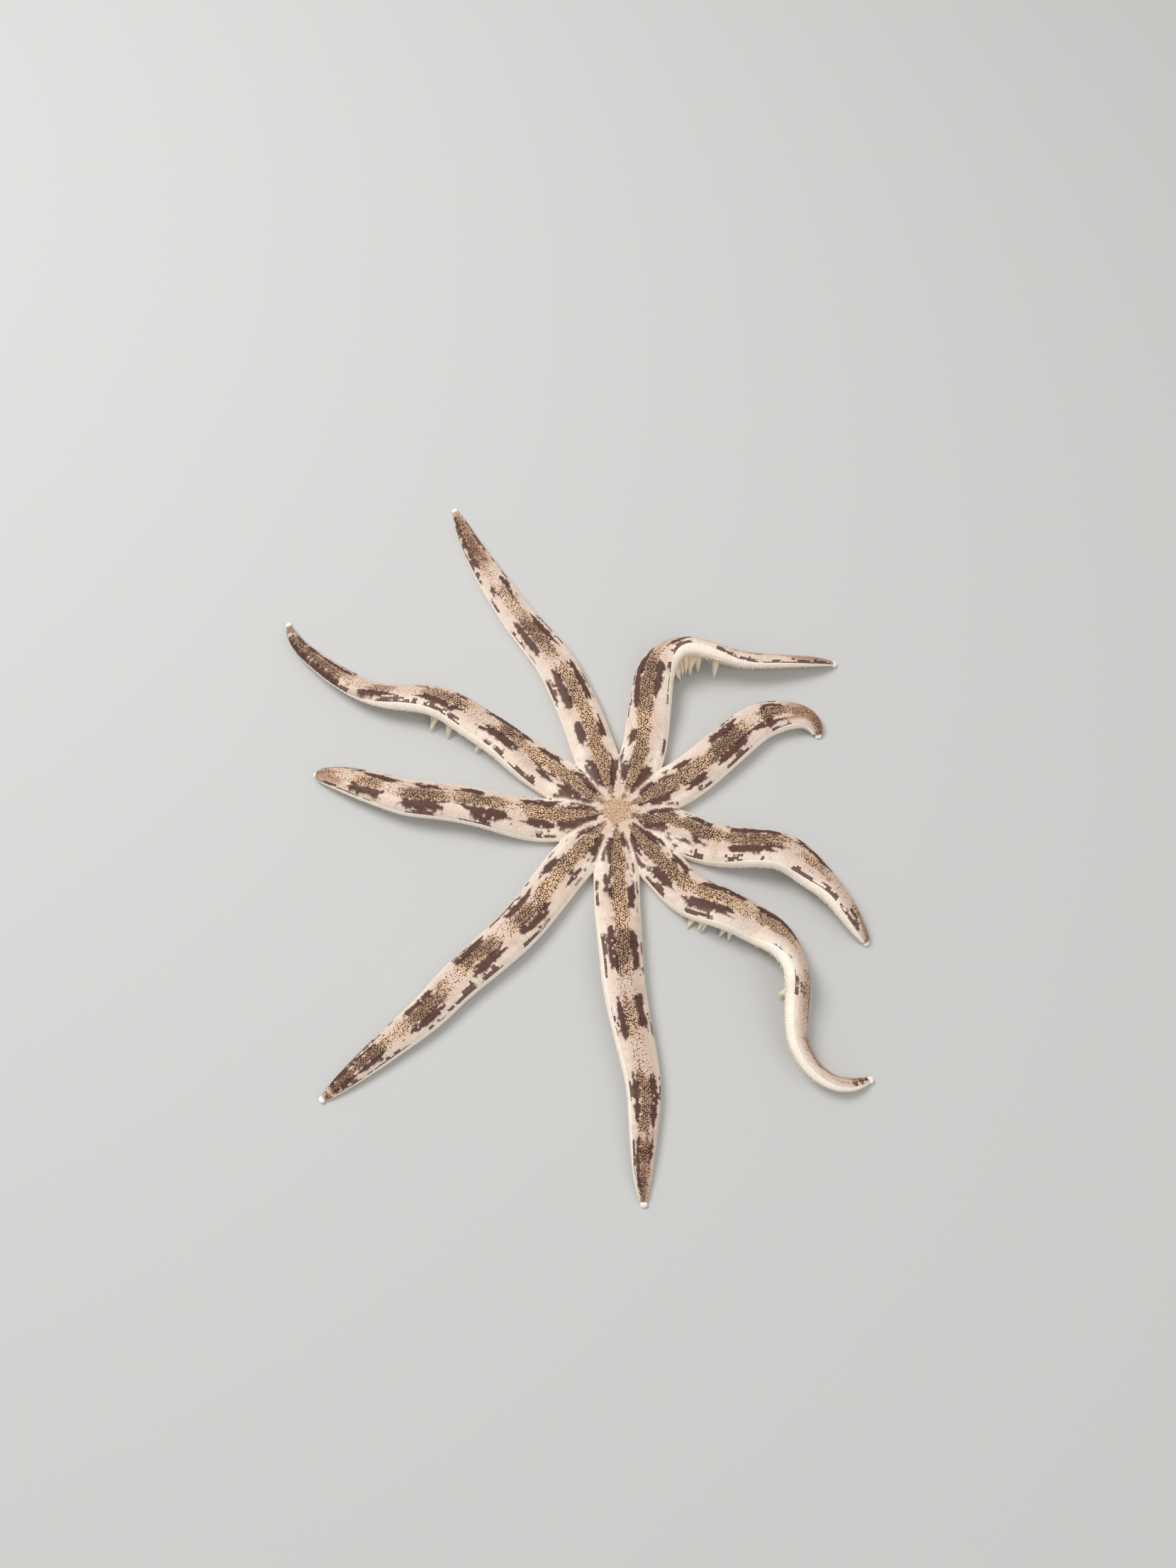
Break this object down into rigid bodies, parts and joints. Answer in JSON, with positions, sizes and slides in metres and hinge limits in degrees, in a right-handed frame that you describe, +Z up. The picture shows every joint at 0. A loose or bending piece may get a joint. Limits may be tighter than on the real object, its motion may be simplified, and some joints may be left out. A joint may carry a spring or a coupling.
{
  "type": "starfish",
  "caption": "Life-size sand starfish at rest: small flat disc, long tapering banded arms that curve over the floor, furrowed underside with tube feet.",
  "frame": {"origin": "on the floor, under the middle of the bounding box", "axes": "+Z up out of the back, +Y along the longest extent (the way the two arms at the back point), +X to the viewer's right from the front"},
  "size_m": [0.1982, 0.2458, 0.0155],
  "materials": {
    "disc_skin": "matte, finely granular",
    "arm_skin": "matte, finely granular, banded dark brown on cream",
    "terminal_plate": "smooth limy white"
  },
  "bodies": {
    "root": {"disc": "disc_skin", "arm_1_base": "arm_skin", "arm_1_middle": "arm_skin", "arm_1_end": "arm_skin", "tip_plate_1": "terminal_plate", "arm_2_base": "arm_skin", "arm_2_middle": "arm_skin", "arm_2_end": "arm_skin", "tip_plate_2": "terminal_plate", "arm_3_base": "arm_skin", "arm_3_middle": "arm_skin", "arm_3_end": "arm_skin", "tip_plate_3": "terminal_plate", "arm_4_base": "arm_skin", "arm_4_middle": "arm_skin", "arm_4_end": "arm_skin", "tip_plate_4": "terminal_plate", "arm_5_base": "arm_skin", "arm_5_middle": "arm_skin", "arm_5_end": "arm_skin", "tip_plate_5": "terminal_plate", "arm_6_base": "arm_skin", "arm_6_middle": "arm_skin", "arm_6_end": "arm_skin", "tip_plate_6": "terminal_plate", "arm_7_base": "arm_skin", "arm_7_middle": "arm_skin", "arm_7_end": "arm_skin", "tip_plate_7": "terminal_plate", "arm_8_base": "arm_skin", "arm_8_middle": "arm_skin", "arm_8_end": "arm_skin", "tip_plate_8": "terminal_plate", "arm_9_base": "arm_skin", "arm_9_middle": "arm_skin", "arm_9_end": "arm_skin", "tip_plate_9": "terminal_plate"}
  },
  "joints": []
}
